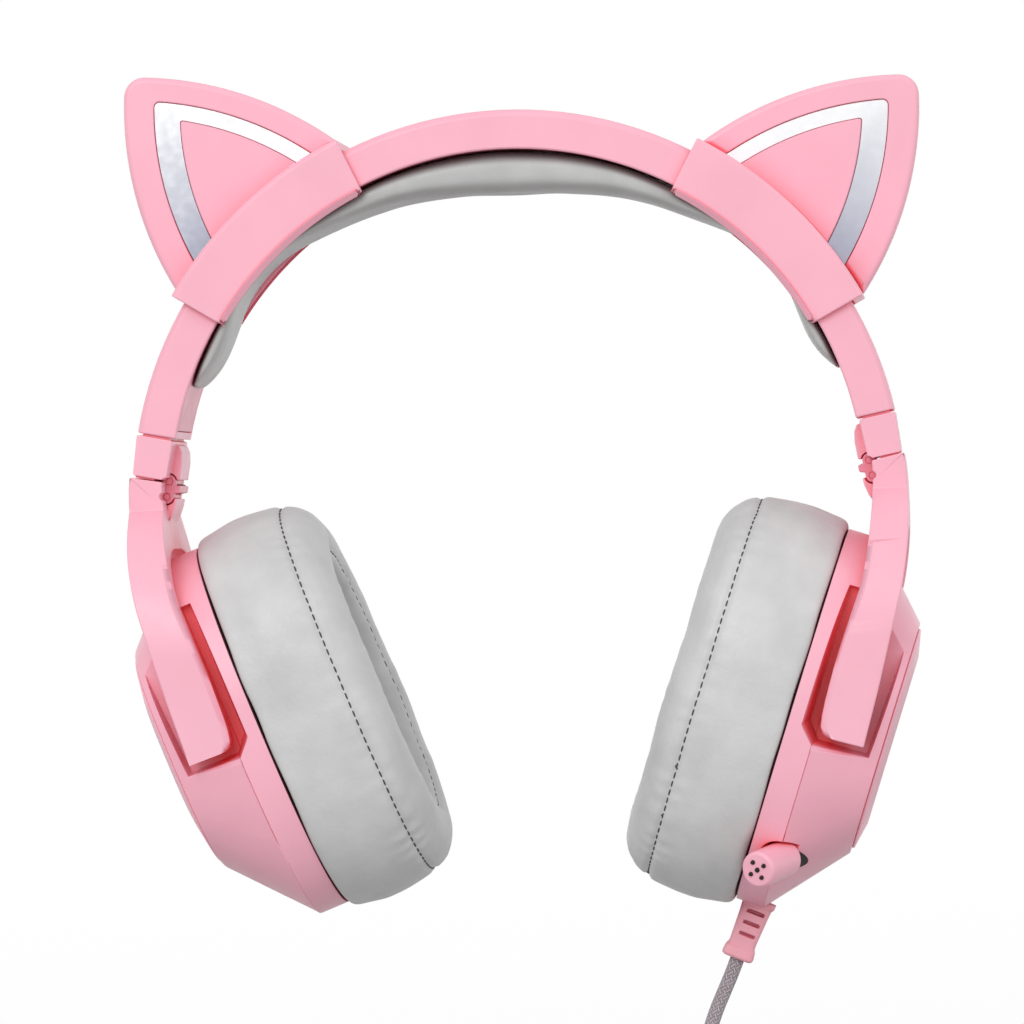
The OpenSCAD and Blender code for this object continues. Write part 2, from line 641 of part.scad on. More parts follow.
module plug_pin() {
    color(steel) at_plug() translate([0, 0, 24]) rotate_extrude() polygon([[0, 0], [1.75, 0], [1.75, 12.2],
        [1.3, 12.6], [1.7, 13.1], [0.5, 14.4], [0, 14.4]]);
}

headband_shell();
headband_inner_plate();
headband_spring();
headband_pad();
for (side = SIDES) mirror([side == "right" ? 1 : 0, 0, 0]) {
    $hang = side == "right" ? sway : -sway;
    ear_at = side == "left" ? ear_left : ear_right;
    ear_clip(ear_at);
    ear_frame(ear_at);
    ear_mirror(ear_at);
    ear_panel(ear_at);
    slider_strip();
    slider_block();
    hinge_link();
    hinge_pins();
    yoke();
    pivot_pins();
    at_cup() cup_shell(side);
    at_cup() cup_cover();
    at_cup() cup_ring(side);
    at_cup() baffle();
    at_cup() driver();
    at_cup() speaker_cloth();
    at_cup() gasket();
    at_cup() ear_cushion();
    at_cup() cup_screws();
}
$hang = -sway;
mic_tip();
mic_stem();
mic_bushing();
at_cup() circuit_board();
at_cup() volume_wheel();
at_cup() volume_potentiometer();
at_button() mute_button();
strain_relief();
cord();
cord_coil();
cord_tie();
plug_body();
plug_pin();
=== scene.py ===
"""Cat-ear gaming headset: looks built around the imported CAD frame."""
import bisect
import json
import math

import bmesh
import bpy
from mathutils import Matrix, Vector, kdtree, noise


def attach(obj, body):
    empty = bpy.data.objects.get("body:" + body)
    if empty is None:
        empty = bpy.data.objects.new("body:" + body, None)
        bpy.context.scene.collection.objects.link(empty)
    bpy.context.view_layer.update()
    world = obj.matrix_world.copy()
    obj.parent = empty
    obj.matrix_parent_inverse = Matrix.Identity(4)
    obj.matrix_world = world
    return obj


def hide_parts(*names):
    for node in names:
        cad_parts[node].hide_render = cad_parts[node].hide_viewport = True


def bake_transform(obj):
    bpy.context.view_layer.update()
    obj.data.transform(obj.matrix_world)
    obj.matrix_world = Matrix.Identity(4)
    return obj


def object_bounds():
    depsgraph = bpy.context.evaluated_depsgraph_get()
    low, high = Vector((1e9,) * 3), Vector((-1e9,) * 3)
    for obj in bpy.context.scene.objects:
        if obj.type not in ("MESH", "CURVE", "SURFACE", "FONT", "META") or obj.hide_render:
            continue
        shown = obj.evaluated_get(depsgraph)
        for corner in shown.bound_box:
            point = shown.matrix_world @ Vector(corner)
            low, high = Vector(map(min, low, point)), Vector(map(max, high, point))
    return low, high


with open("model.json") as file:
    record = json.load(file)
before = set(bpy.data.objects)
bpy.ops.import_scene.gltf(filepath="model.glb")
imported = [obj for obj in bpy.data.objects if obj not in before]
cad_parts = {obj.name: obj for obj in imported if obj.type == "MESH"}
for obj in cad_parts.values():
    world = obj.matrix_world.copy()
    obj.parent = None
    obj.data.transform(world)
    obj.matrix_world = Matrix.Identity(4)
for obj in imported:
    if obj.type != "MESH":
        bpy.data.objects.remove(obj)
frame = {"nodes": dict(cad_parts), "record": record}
cad_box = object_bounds()

MM = 0.001
NODES = frame["nodes"]
RECORD = frame["record"]
BODY_OF = {n: b for b, names in RECORD["behaviour"]["bodies"].items() for n in names}
SIDES = ("left", "right")

# The CAD's main sizes, in millimetres and degrees
ARC_Z = -73.0  # height of the headband's centre
BAND_IN = 84.0  # inner radius of the headband
BAND_END = 78.8  # angle from the top at which the headband ends
SWAY = 1.3  # turn of each cup about its lower hinge pin at rest
LOWER_PIN = (14.4, BAND_IN + 0.8)  # from the headband's centre, in the slider's frame
CUP_AT = (63.4, -54.5)  # from the headband's centre
CUP_TILT = 20.0
CUP_SCREWS = ((-15, -39.5), (15, -39.5), (-12, 40), (12, 40))
EAR_ANGLE = {"left": 45.1, "right": 41.7}
EAR_R = 112  # from the headband's centre to the middle of an ear
EAR_HALF = 4  # half the depth of an ear's frame
MIC_AT = (8.4, -30.2, -33)  # in the left cup's frame, as the next four are
MIC_TURN = -24
MIC_PITCH = 107
RELIEF_AT = (5.4, 0, -46.4)
RELIEF_LEAN = 4.6
CORD_D = 3.5
COIL_AT = (41, -173.5)  # from the headband's centre
COIL_R = 11.6 * CORD_D / 2  # to the middle of the turns
COIL_ROWS = 4
COIL_START = 20  # degrees from the coil's top at which the cord joins it


# ---------------------------------------------------------------- camera
def make_camera():
    """At the photo's angle: a little round to the object's left, and rolled, as the object leans in the photo."""
    azimuth, roll, distance, width = math.radians(3.5), math.radians(1.75), 1.85, 0.25
    right = Vector((math.cos(azimuth), math.sin(azimuth), 0))
    ahead = Vector((-math.sin(azimuth), math.cos(azimuth), 0))
    r = right * math.cos(roll) - Vector((0, 0, 1)) * math.sin(roll)
    u = right * math.sin(roll) + Vector((0, 0, 1)) * math.cos(roll)
    middle, to_left, down = -74.5, 2.3, 2.45
    aim = Vector((0, 0, middle * MM)) - r * to_left * MM - u * down * MM
    data = bpy.data.cameras.new("camera")
    data.lens = 36 * distance / width
    cam = bpy.data.objects.new("camera", data)
    bpy.context.scene.collection.objects.link(cam)
    m = Matrix((r, u, -ahead)).transposed().to_4x4()
    m.translation = aim - ahead * distance
    cam.matrix_world = m
    bpy.context.scene.camera = cam


make_camera()


# ---------------------------------------------------------------- frames, in millimetres
def hand(side):
    """The sign of X on a side: the object's own left is +X."""
    return 1 if side == "left" else -1


def mirror(side):
    return Matrix.Scale(-1, 4, (1, 0, 0)) if side == "right" else Matrix()


def at_band():
    """The headband's centre."""
    return Matrix.Translation((0, 0, ARC_Z))


def at_slider():
    """The left slider: Z runs out from the headband's centre, X down along the strip."""
    return at_band() @ Matrix.Rotation(math.radians(BAND_END), 4, "Y")


def at_hang(side):
    """The turn about the lower hinge pin with which a cup hangs at rest."""
    pin = at_slider() @ Vector((LOWER_PIN[0], 0, LOWER_PIN[1]))
    turn = Matrix.Rotation(math.radians(-SWAY * hand(side)), 4, "Y")
    return Matrix.Translation(pin) @ turn @ Matrix.Translation(-pin)


def at_cup(side):
    """A cup: X runs out from the head, Z up the ring."""
    place = at_band() @ Matrix.Translation((CUP_AT[0], 0, CUP_AT[1]))
    return mirror(side) @ at_hang(side) @ place @ Matrix.Rotation(math.radians(CUP_TILT), 4, "Y")


# ---------------------------------------------------------------- meshes
def link(obj):
    bpy.context.scene.collection.objects.link(obj)
    return obj


def mesh_object(name, points, faces, material, place=Matrix(), uvs=None):
    """Points in millimetres, moved by place; a mirrored place turns the faces round."""
    if place.determinant() < 0:
        faces = [tuple(reversed(f)) for f in faces]
    mesh = bpy.data.meshes.new(name)
    mesh.from_pydata([tuple((place @ Vector(p)) * MM) for p in points], [], faces)
    mesh.materials.append(material)
    for poly in mesh.polygons:
        poly.use_smooth = True
    if uvs:
        layer = mesh.uv_layers.new(name="UVMap")
        for poly in mesh.polygons:
            us = [uvs[v] for v in poly.vertices]
            wrap = max(u[0] for u in us) - min(u[0] for u in us) > 0.5
            for loop, u in zip(poly.loop_indices, us):
                layer.data[loop].uv = (u[0] + 1 if wrap and u[0] < 0.5 else u[0], u[1])
    return link(bpy.data.objects.new(name, mesh))


def tube(name, path, radius, sides, material):
    """A round tube along a path in millimetres, with UVs: round it, and millimetres along it."""
    points, uvs, faces = [], [], []
    side, along = None, 0.0
    n = len(path)
    for i, p in enumerate(path):
        ahead = (path[min(i + 1, n - 1)] - path[max(i - 1, 0)]).normalized()
        if side is None:
            side = Vector((0, 1, 0)).cross(ahead).normalized()
        side = (side - ahead * side.dot(ahead)).normalized()
        other = ahead.cross(side)
        if i:
            along += (p - path[i - 1]).length
        for k in range(sides):
            a = math.tau * k / sides
            points.append(p + (side * math.cos(a) + other * math.sin(a)) * radius)
            uvs.append((k / sides, along))
    for i in range(n - 1):
        for k in range(sides):
            j = (k + 1) % sides
            faces.append((i * sides + k, i * sides + j, (i + 1) * sides + j, (i + 1) * sides + k))
    faces.append(tuple(range(sides - 1, -1, -1)))
    faces.append(tuple((n - 1) * sides + k for k in range(sides)))
    return mesh_object(name, points, faces, material, uvs=uvs)


def superoval(a, b, e, t):
    """A point at angle t on an oval with half sizes a and b, squarer the larger e is."""
    c, s = math.cos(t), math.sin(t)
    return (math.copysign(a * abs(c) ** (2 / e), c), math.copysign(b * abs(s) ** (2 / e), s))


def ring_mesh(name, rows, material, place, closed_rows=True):
    """Rows of points, each a closed loop, joined into a skin; rows close too for a doughnut."""
    n = len(rows[0])
    points = [p for row in rows for p in row]
    faces = []
    for i in range(len(rows) if closed_rows else len(rows) - 1):
        j = (i + 1) % len(rows)
        for k in range(n):
            m = (k + 1) % n
            faces.append((i * n + k, j * n + k, j * n + m, i * n + m))
    if not closed_rows:
        faces.append(tuple(range(n)))
        faces.append(tuple((len(rows) - 1) * n + k for k in reversed(range(n))))
    return mesh_object(name, points, faces, material, place)


def smooth_path(points, step):
    """Catmull-Rom through the points, about one point per step."""
    out = []
    for i in range(len(points) - 1):
        a, b, c = points[max(i - 1, 0)], points[i], points[i + 1]
        d = points[min(i + 2, len(points) - 1)]
        n = max(1, round((c - b).length / step))
        for k in range(n):
            t = k / n
            out.append(b + (c - a) * t / 2 + (2 * a - 5 * b + 4 * c - d) * t * t / 2
                + (3 * b - a - 3 * c + d) * t ** 3 / 2)
    return out + [points[-1]]


# ---------------------------------------------------------------- shader helpers
class Shader:
    """A node material, built with short calls."""

    def __init__(self, name):
        self.material = bpy.data.materials.new(name)
        self.material.use_nodes = True
        self.tree = self.material.node_tree
        self.surface = self.tree.nodes["Principled BSDF"]

    def set(self, **values):
        for key, value in values.items():
            self.surface.inputs[key.replace("_", " ")].default_value = value
        return self

    def node(self, kind, inputs=(), **settings):
        n = self.tree.nodes.new("ShaderNode" + kind)
        for key, value in settings.items():
            setattr(n, key, value)
        for key, value in dict(inputs).items():
            socket = n.inputs[key]
            if isinstance(value, bpy.types.NodeSocket):
                self.tree.links.new(value, socket)
            else:
                socket.default_value = value
        return n

    def math(self, operation, a, b=0.0):
        return self.node("Math", {0: a, 1: b}, operation=operation).outputs[0]

    def remap(self, value, low, high, to_low=0.0, to_high=1.0, steps="LINEAR"):
        return self.node("MapRange", {"Value": value, "From Min": low, "From Max": high,
            "To Min": to_low, "To Max": to_high}, interpolation_type=steps).outputs[0]

    def mix(self, factor, a, b):
        n = self.node("Mix", data_type="RGBA")
        for socket, value in ((n.inputs[0], factor), (n.inputs[6], a), (n.inputs[7], b)):
            if isinstance(value, bpy.types.NodeSocket):
                self.tree.links.new(value, socket)
            else:
                socket.default_value = value
        return n.outputs[2]

    def coords(self):
        return self.node("TexCoord").outputs["Object"]

    def noise(self, scale, detail=2.0, roughness=0.5, vector=None):
        return self.node("TexNoise", {"Vector": vector or self.coords(), "Scale": scale, "Detail": detail,
            "Roughness": roughness}).outputs["Fac"]

    def bump(self, height, distance, strength=1.0, under=None):
        inputs = {"Height": height, "Distance": distance, "Strength": strength}
        if under:
            inputs["Normal"] = under
        return self.node("Bump", inputs).outputs[0]

    def use(self, socket, output):
        self.tree.links.new(output, self.surface.inputs[socket])
        return self


def rgb(*c):
    """sRGB 0-255 to a linear colour."""
    values = [x / 255 for x in c]
    return tuple(v / 12.92 if v <= 0.04045 else ((v + 0.055) / 1.055) ** 2.4 for v in values) + (1,)


def plastic(name, colour, deep, roughness=0.36, grain=0.012, fade=None):
    """Satin moulded plastic, finely grained: painted shade makes it redder in its corners, and a painted highlight
    makes its sharp edges a little paler.

    fade: a direction and two distances along it, between which most of the painted red shade goes."""
    s = Shader(name).set(IOR=1.46, Coat_Weight=0.12, Coat_Roughness=0.28)
    # painted shade: ambient occlusion mixes the colour towards deep, a red, in corners and recesses
    corner = s.node("AmbientOcclusion", {"Distance": 0.012}, samples=8, only_local=False).outputs["AO"]
    shade_amount = s.remap(corner, 0.12, 0.8, 1.0, 0.0, "SMOOTHSTEP")
    if fade:
        direction, full, faded = fade
        along = s.node("VectorMath", {0: s.coords(), 1: direction}, operation="DOT_PRODUCT").outputs["Value"]
        shade_amount = s.math("MULTIPLY", shade_amount, s.remap(along, full, faded, 1.0, 0.22))
    corner_shade = s.mix(shade_amount, colour, deep)
    cloudy = s.remap(s.noise(60, 3), 0.35, 0.65, -0.02, 0.02)
    # painted highlight: sharp edges, found by their pointiness, are mixed a little paler
    edge = s.remap(s.node("NewGeometry").outputs["Pointiness"], 0.52, 0.6, 0.0, 0.35)
    pale = tuple(min(1, c * 1.12 + 0.03) for c in colour[:3]) + (1,)
    edge_highlight = s.mix(edge, corner_shade, pale)
    hsv = s.node("HueSaturation", {"Value": s.math("ADD", cloudy, 1.0), "Color": edge_highlight})
    s.use("Base Color", hsv.outputs[0])
    s.use("Roughness", s.remap(s.noise(220, 4), 0.3, 0.7, roughness - 0.05, roughness + 0.07))
    s.use("Normal", s.bump(s.noise(2600, 2), grain * MM))
    return s.material


def leatherette(name, colour, dark, grain, roughness):
    """Coated cloth: pebbled cells, soft creases, a faint random change of tone, and painted shade darkening its
    corners.
    """
    s = Shader(name).set(IOR=1.45, Sheen_Weight=0.08, Sheen_Roughness=0.5)
    place = s.coords()
    cells = s.node("TexVoronoi", {"Vector": place, "Scale": 1150}, feature="SMOOTH_F1").outputs["Distance"]
    creases = s.noise(85, 5, 0.55)
    shade = s.mix(s.remap(creases, 0.32, 0.68), dark, colour)
    # painted shade: ambient occlusion darkens the cloth in its corners and where other parts come close
    corner = s.node("AmbientOcclusion", {"Distance": 0.006}, samples=8).outputs["AO"]
    deep = tuple(c * 0.45 for c in dark[:3]) + (1,)
    s.use("Base Color", s.mix(s.remap(corner, 0.3, 0.9, 1.0, 0.0), shade, deep))
    s.use("Roughness", s.remap(cells, 0.1, 0.6, roughness - 0.05, roughness + 0.08))
    soft = s.bump(s.noise(42, 3), 0.35 * MM, 0.6)
    s.use("Normal", s.bump(cells, grain * MM, 1.0, soft))
    return s.material


PALE_PINK = rgb(252, 181, 199)
# the second colour given to plastic() is the red of its painted corner shade
PINK = plastic("pink_plastic", PALE_PINK, rgb(255, 88, 92))
# the clips' painted corner shade is a milder red
CLIP_PINK = plastic("clip_pink_plastic", PALE_PINK, rgb(252, 140, 156))
DEEP_PINK = plastic("deep_pink_plastic", rgb(240, 150, 170), rgb(235, 110, 125))
SOFT_PINK = plastic("soft_pink_plastic", rgb(240, 168, 181), rgb(190, 84, 98), 0.5, 0.02)
CUSHION = leatherette("cushion_leatherette", rgb(212, 212, 212), rgb(200, 200, 200), 0.05, 0.42)
PAD = leatherette("band_leatherette", rgb(193, 194, 193), rgb(181, 182, 181), 0.03, 0.36)


def make_metal(name, colour, roughness, stretch):
    """Brushed metal, its lines drawn out along the axis with the small stretch."""
    s = Shader(name).set(Metallic=1.0)
    brushed = s.node("Mapping", {"Vector": s.coords(), "Scale": stretch}).outputs[0]
    lines = s.noise(900, 3, vector=brushed)
    s.use("Base Color", s.mix(lines, colour, tuple(c * 0.82 for c in colour[:3]) + (1,)))
    s.use("Roughness", s.remap(lines, 0.3, 0.7, roughness - 0.06, roughness + 0.08))
    s.use("Normal", s.bump(lines, 0.004 * MM))
    return s.material


STEEL = make_metal("steel", rgb(200, 202, 205), 0.3, (1, 0.05, 1))
PLUG_METAL = make_metal("plug_metal", rgb(222, 214, 190), 0.18, (1, 1, 0.05))


def make_black(name, level, roughness, scale, depth):
    """Dark plastic, rubber or thread with a fine mottle."""
    s = Shader(name)
    mottle = s.noise(scale, 3)
    s.use("Base Color", s.mix(mottle, rgb(level, level, level), rgb(level + 14, level + 14, level + 15)))
    s.use("Roughness", s.remap(mottle, 0.3, 0.7, roughness - 0.06, roughness + 0.06))
    s.use("Normal", s.bump(mottle, depth * MM))
    return s.material


BLACK = make_black("black_plastic", 24, 0.5, 1500, 0.02)
RUBBER = make_black("black_rubber", 18, 0.65, 900, 0.03)


def make_cloth():
    """Plain weave in front of the speakers."""
    s = Shader("black_cloth").set(Roughness=0.85, Sheen_Weight=0.3, Sheen_Roughness=0.6)
    axes = s.node("SeparateXYZ", {0: s.coords()}).outputs
    threads = [s.math("ABSOLUTE", s.math("SINE", s.math("MULTIPLY", axes[i], 4200))) for i in (1, 2)]
    weave = s.math("MULTIPLY", *threads)
    s.use("Base Color", s.mix(weave, rgb(14, 14, 15), rgb(52, 52, 54)))
    s.use("Normal", s.bump(weave, 0.08 * MM))
    return s.material


CLOTH = make_cloth()


def make_board():
    """Green circuit board under lacquer, with lighter tracks."""
    s = Shader("green_board").set(Coat_Weight=0.6)
    cells = s.node("TexVoronoi", {"Vector": s.coords(), "Scale": 260}, distance="MANHATTAN").outputs["Distance"]
    s.use("Base Color", s.mix(s.remap(cells, 0.35, 0.4), rgb(24, 92, 52), rgb(60, 140, 88)))
    s.use("Roughness", s.remap(s.noise(400), 0, 1, 0.3, 0.5))
    return s.material


BOARD = make_board()


def cup_pink(side):
    """Pink whose painted red shade falls mostly on the ring's side of the cup's pockets."""
    place = at_cup(side)
    out = place.to_3x3() @ Vector((1, 0, 0))
    start = place.translation.dot(out)
    full, faded = 11, 17.5  # distances out from the ring
    # deep red of the painted shade in the pockets, faded out away from the ring
    return plastic("cup_pink_plastic_" + side, PALE_PINK, rgb(255, 80, 84),
        fade=(tuple(out), (start + full) * MM, (start + faded) * MM))


def make_mirror(side):
    """Silver film with a painted reflection: bright on the ear's inner arm, and blue-grey down its outer arm."""
    k = hand(side)
    s = Shader("mirror_strip_" + side).set(Metallic=0.75)
    a = math.radians(EAR_ANGLE[side] * k)
    offset = s.node("VectorMath", {0: s.coords(), 1: (0, 0, ARC_Z * MM)}, operation="SUBTRACT").outputs[0]
    across = s.node("VectorMath", {0: offset, 1: (k * math.cos(a), 0, -k * math.sin(a))},
        operation="DOT_PRODUCT").outputs["Value"]
    up = s.node("VectorMath", {0: offset, 1: (math.sin(a), 0, math.cos(a))},
        operation="DOT_PRODUCT").outputs["Value"]
    # painted reflection: white on the inner arm, blue-grey across the outer arm, deepest lower down
    outer = s.remap(across, -0.006, 0.004, steps="SMOOTHSTEP")
    low = s.remap(up, 0.132, 0.098, 0.12, 1.0)
    shade = s.math("MULTIPLY", outer, low)
    colour = s.mix(shade, rgb(250, 251, 253), rgb(174, 178, 194))
    s.use("Base Color", s.mix(s.remap(s.noise(90, 2), 0.4, 0.6, 0, 0.12), colour, rgb(225, 228, 236)))
    s.use("Roughness", s.remap(s.noise(500, 2), 0.3, 0.7, 0.12, 0.24))
    return s.material


def make_braid():
    """A braided sleeve: two sets of strands crossing round the cord, from its UVs, with painted shade where the
    strands sink.
    """
    s = Shader("braided_cord").set(Roughness=0.7, Sheen_Weight=0.25, Sheen_Roughness=0.4)
    uv = s.node("SeparateXYZ", {0: s.node("TexCoord").outputs["UV"]}).outputs
    strands, pitch = 16.0, 0.95
    one = s.math("ADD", s.math("MULTIPLY", uv[0], strands), s.math("MULTIPLY", uv[1], pitch))
    two = s.math("SUBTRACT", s.math("MULTIPLY", uv[0], strands), s.math("MULTIPLY", uv[1], pitch))
    ridges = [s.math("ABSOLUTE", s.math("SINE", s.math("MULTIPLY", t, math.pi))) for t in (one, two)]
    over = s.math("GREATER_THAN", s.math("SINE", s.math("MULTIPLY", s.math("ADD", one, two), math.pi / 2)), 0)
    height = s.node("Mix", {0: over, 2: ridges[0], 3: ridges[1]}).outputs[0]
    threads = s.node("Mix", {0: over, 2: s.math("FRACT", s.math("MULTIPLY", one, 0.5)),
        3: s.math("FRACT", s.math("MULTIPLY", two, 0.5))}).outputs[0]
    colour = s.mix(s.math("GREATER_THAN", threads, 0.5), rgb(194, 186, 190), rgb(166, 152, 158))
    # painted shade: darker where the strands dip between their crossings
    dark = s.mix(s.remap(height, 0.0, 0.5), rgb(118, 102, 112), colour)
    s.use("Base Color", s.mix(s.remap(s.noise(700, 3), 0.35, 0.65, 0, 0.3), dark, rgb(205, 196, 202)))
    s.use("Normal", s.bump(height, 0.25 * MM))
    return s.material


BRAID = make_braid()
THREAD = make_black("stitch_thread", 62, 0.7, 2500, 0.03)
# near black: the painted shade in the mic tip's sound holes, and the mic's bushing
HOLE = make_black("dark_hole", 30, 0.9, 800, 0.01)


# ---------------------------------------------------------------- the cord
def coil_path():
    """16 passes in 4 columns of 4 rows, from the join anticlockwise to the tail."""
    centre = Vector((COIL_AT[0], 0, COIL_AT[1]))
    half = (COIL_ROWS - 1) / 2
    rows = [COIL_R + (half - i) * CORD_D for i in range(COIL_ROWS)]
    columns = [(i - half) * CORD_D for i in range(COIL_ROWS)]
    passes = []
    for i, y in enumerate(columns):
        passes += [(r, y) for r in (rows if i % 2 == 0 else reversed(rows))]
    last = len(passes) - 1
    start, steps = 90 + COIL_START, 36
    shift = 55  # degrees at the end of a turn in which the cord moves over to the next pass
    part = 70 / 360  # the last pass is this much of a turn
    path = []
    for i, (r, y) in enumerate(passes):
        turns = 1 if i < last else part
        for k in range(round(steps * turns)):
            a = math.radians(start + 360 * k / steps)
            t = max(0.0, (k * 360 / steps - (360 - shift)) / shift) if i < last else 0.0
            t = t * t * (3 - 2 * t)
            nr, ny = passes[min(i + 1, last)]
            rr, yy = r + (nr - r) * t, y + (ny - y) * t
            path.append(centre + Vector((rr * math.cos(a), yy, rr * math.sin(a))))
    tail = centre + Vector((-rows[0], columns[-1], 0))
    path.append(tail)
    path += [tail - Vector((0, 0, d)) for d in (3, 6, 9, 12)]
    return path


def make_cord(with_pieces):
    """The whole cord along its CAD route. with_pieces, the pieces that are fixed on it, is not used."""
    # the same points as the CAD's tube, from the headband's centre
    route = [Vector(p) for p in ((49.4, 0, -114.1), (47.8, -0.2, -118), (46, -0.8, -122), (44.2, -1.9, -126),
        (42.7, -3.1, -130), (41.5, -4.2, -134), (40.7, -4.9, -137))]
    outer = (COIL_ROWS - 1) / 2 * CORD_D
    outer_r = COIL_R + outer
    a0 = math.radians(COIL_START)
    join = Vector((COIL_AT[0] - outer_r * math.sin(a0), -outer, COIL_AT[1] + outer_r * math.cos(a0)))
    bend_r = 12  # of the curve that leads into the coil
    for deg in (85, 72, 59, 46, 33):
        a = math.radians(deg)
        route.append(join + bend_r * Vector((math.sin(a) - math.sin(a0), 0, math.cos(a0) - math.cos(a))))
    path = smooth_path(route + [join], 0.9)[:-1] + coil_path()
    path = [at_band() @ p for p in path]
    cord = tube("braided_cord", path, CORD_D / 2, 12, BRAID)
    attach(cord, "cord")
    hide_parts("cord", "cord_coil")


# ---------------------------------------------------------------- rigid pieces from their CAD shapes
def chamfer_edges(bm, pick, width, segments):
    """Bevels the edges that pick(middle in mm, edge) chooses, by width in mm."""
    chosen = [e for e in bm.edges if len(e.link_faces) == 2
        and e.calc_face_angle() > math.radians(20)
        and pick((e.verts[0].co + e.verts[1].co) / 2 / MM, e)]
    if chosen:
        bmesh.ops.bevel(bm, geom=chosen, offset=width * MM, offset_type="OFFSET", segments=segments, profile=0.5,
            affect="EDGES", clamp_overlap=False)


def finish_rigid(obj, edge, angle):
    """Rounds the sharp edges that are left, and shades the flats flat."""
    if edge:
        bevel = obj.modifiers.new("edges", "BEVEL")
        bevel.width = edge * MM
        bevel.segments = 2
        bevel.limit_method = "ANGLE"
        bevel.angle_limit = math.radians(angle)
        bevel.use_clamp_overlap = False
        bevel.harden_normals = False
    flats = obj.modifiers.new("flats", "WEIGHTED_NORMAL")
    flats.keep_sharp = True
    obj.data.set_sharp_from_angle(angle=math.radians(50))


def rigid(node, material, edge, chamfers=(), angle=30):
    """A copy of a CAD node with clean flats, chosen chamfers and rounded edges.

    chamfers: (pick, width, segments) for each set of edges; angle: the flattest edge that is rounded."""
    weld, flat = 0.02, 0.8
    bm = bmesh.new()
    bm.from_mesh(NODES[node].data)
    bmesh.ops.remove_doubles(bm, verts=bm.verts, dist=weld * MM)
    bmesh.ops.dissolve_limit(bm, angle_limit=math.radians(flat), verts=bm.verts, edges=bm.edges)
    for pick, width, segments in chamfers:
        chamfer_edges(bm, pick, width, segments)
    bmesh.ops.recalc_face_normals(bm, faces=bm.faces)
    mesh = bpy.data.meshes.new(node)
    bm.to_mesh(mesh)
    bm.free()
    mesh.materials.append(material)
    for poly in mesh.polygons:
        poly.use_smooth = True
    obj = link(bpy.data.objects.new(node + "_shape", mesh))
    finish_rigid(obj, edge, angle)
    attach(obj, BODY_OF[node])
    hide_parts(node)
    return obj


def ear_rim(side):
    """Edges of the ear's outline, on its front and back."""
    a = math.radians(EAR_ANGLE[side] * hand(side))
    centre = Vector((math.sin(a) * EAR_R, 0, math.cos(a) * EAR_R + ARC_Z)) * MM

    def pick(p, e):
        if abs(abs(p.y) - EAR_HALF) >= 0.05:
            return False
        walls = [f for f in e.link_faces if abs(f.normal.y) < 0.5]
        mid = (e.verts[0].co + e.verts[1].co) / 2
        return bool(walls) and (mid - centre).dot(walls[0].normal) > 0
    return pick


def clip_low(p, e):
    """Edges along the clip's lower lips, inside the headband's inner radius."""
    return math.hypot(p.x, p.z - ARC_Z) < BAND_IN - 1 and abs(p.y) > 19.5


def yoke_inner(p, e):
    """Edges between the arms' flats and the surface that faces the head."""
    arm_starts, arm_top, arm_end = 22, ARC_Z - 14, -140
    inner = [f for f in e.link_faces if f.normal.x * p.x < -abs(p.x) * 0.45 and abs(f.normal.y) < 0.4]
    flat = [f for f in e.link_faces if f.normal.y * p.y > abs(p.y) * 0.3 and abs(f.normal.x) < 0.4]
    return bool(inner and flat) and abs(p.y) > arm_starts and arm_end < p.z < arm_top


def recess_mouth(side):
    """Edges where the lower wall of the cup's pockets meets its skin."""
    back = at_cup(side).inverted()
    turn = back.to_3x3()

    def pick(p, e):
        q = back @ p
        # only round the pocket's lower end
        if abs(q.y) < 25 or not 8.5 < q.x < 20 or not -7 < q.z < 3:
            return False
        ns = [(turn @ f.normal).normalized() for f in e.link_faces]
        wall = [n for n in ns if n.z > 0.75]
        skin = [n for n in ns if n.y * q.y > 0 and abs(n.y) > 0.5 and n.x > 0.05]
        return bool(wall and skin)
    return pick


def outline_z(y, half_y, half_z, power):
    """Height of an oval outline at y."""
    return half_z * (1 - abs(y / half_y) ** power) ** (1 / power)


def make_hole_end(side, y, z):
    """A pink plug in a screw hole, up to the cup's sloping skin, which the CAD's holes come through."""
    sides, radius, bottom, under = 24, 1.2, 9.9, 0.04
    # the skin runs straight from the ring's outline to the cover's, this far out
    skin_start, skin_run = 7.1, 16
    points = []
    for k in range(sides):
        a = math.tau * k / sides
        py, pz = y + radius * math.cos(a), z + radius * math.sin(a)
        up = math.copysign(1, pz)
        near = up * outline_z(py, 40, 47, 2.4)
        far = 0.9 + up * outline_z(py, 33, 29.1, 2.8)
        points += [(bottom, py, pz), (skin_start + (near - pz) / (near - far) * skin_run - under, py, pz)]
    faces = [(2 * k, 2 * ((k + 1) % sides), 2 * ((k + 1) % sides) + 1, 2 * k + 1) for k in range(sides)]
    faces += [tuple(2 * k for k in reversed(range(sides))), tuple(2 * k + 1 for k in range(sides))]
    tag = ("front" if y < 0 else "back") + ("_low_" if z < 0 else "_high_")
    end = mesh_object("screw_hole_end_" + tag + side, points, faces, PINK, at_cup(side))
    end.data.set_sharp_from_angle(angle=math.radians(40))
    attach(end, "cup_" + side)


def squeeze(gasket, side):
    """The cushion squeezes the gasket to half its thickness."""
    place = at_cup(side)
    back = place.inverted()
    for v in gasket.data.vertices:
        q = back @ (v.co / MM)
        q.x *= 0.5
        v.co = place @ q * MM


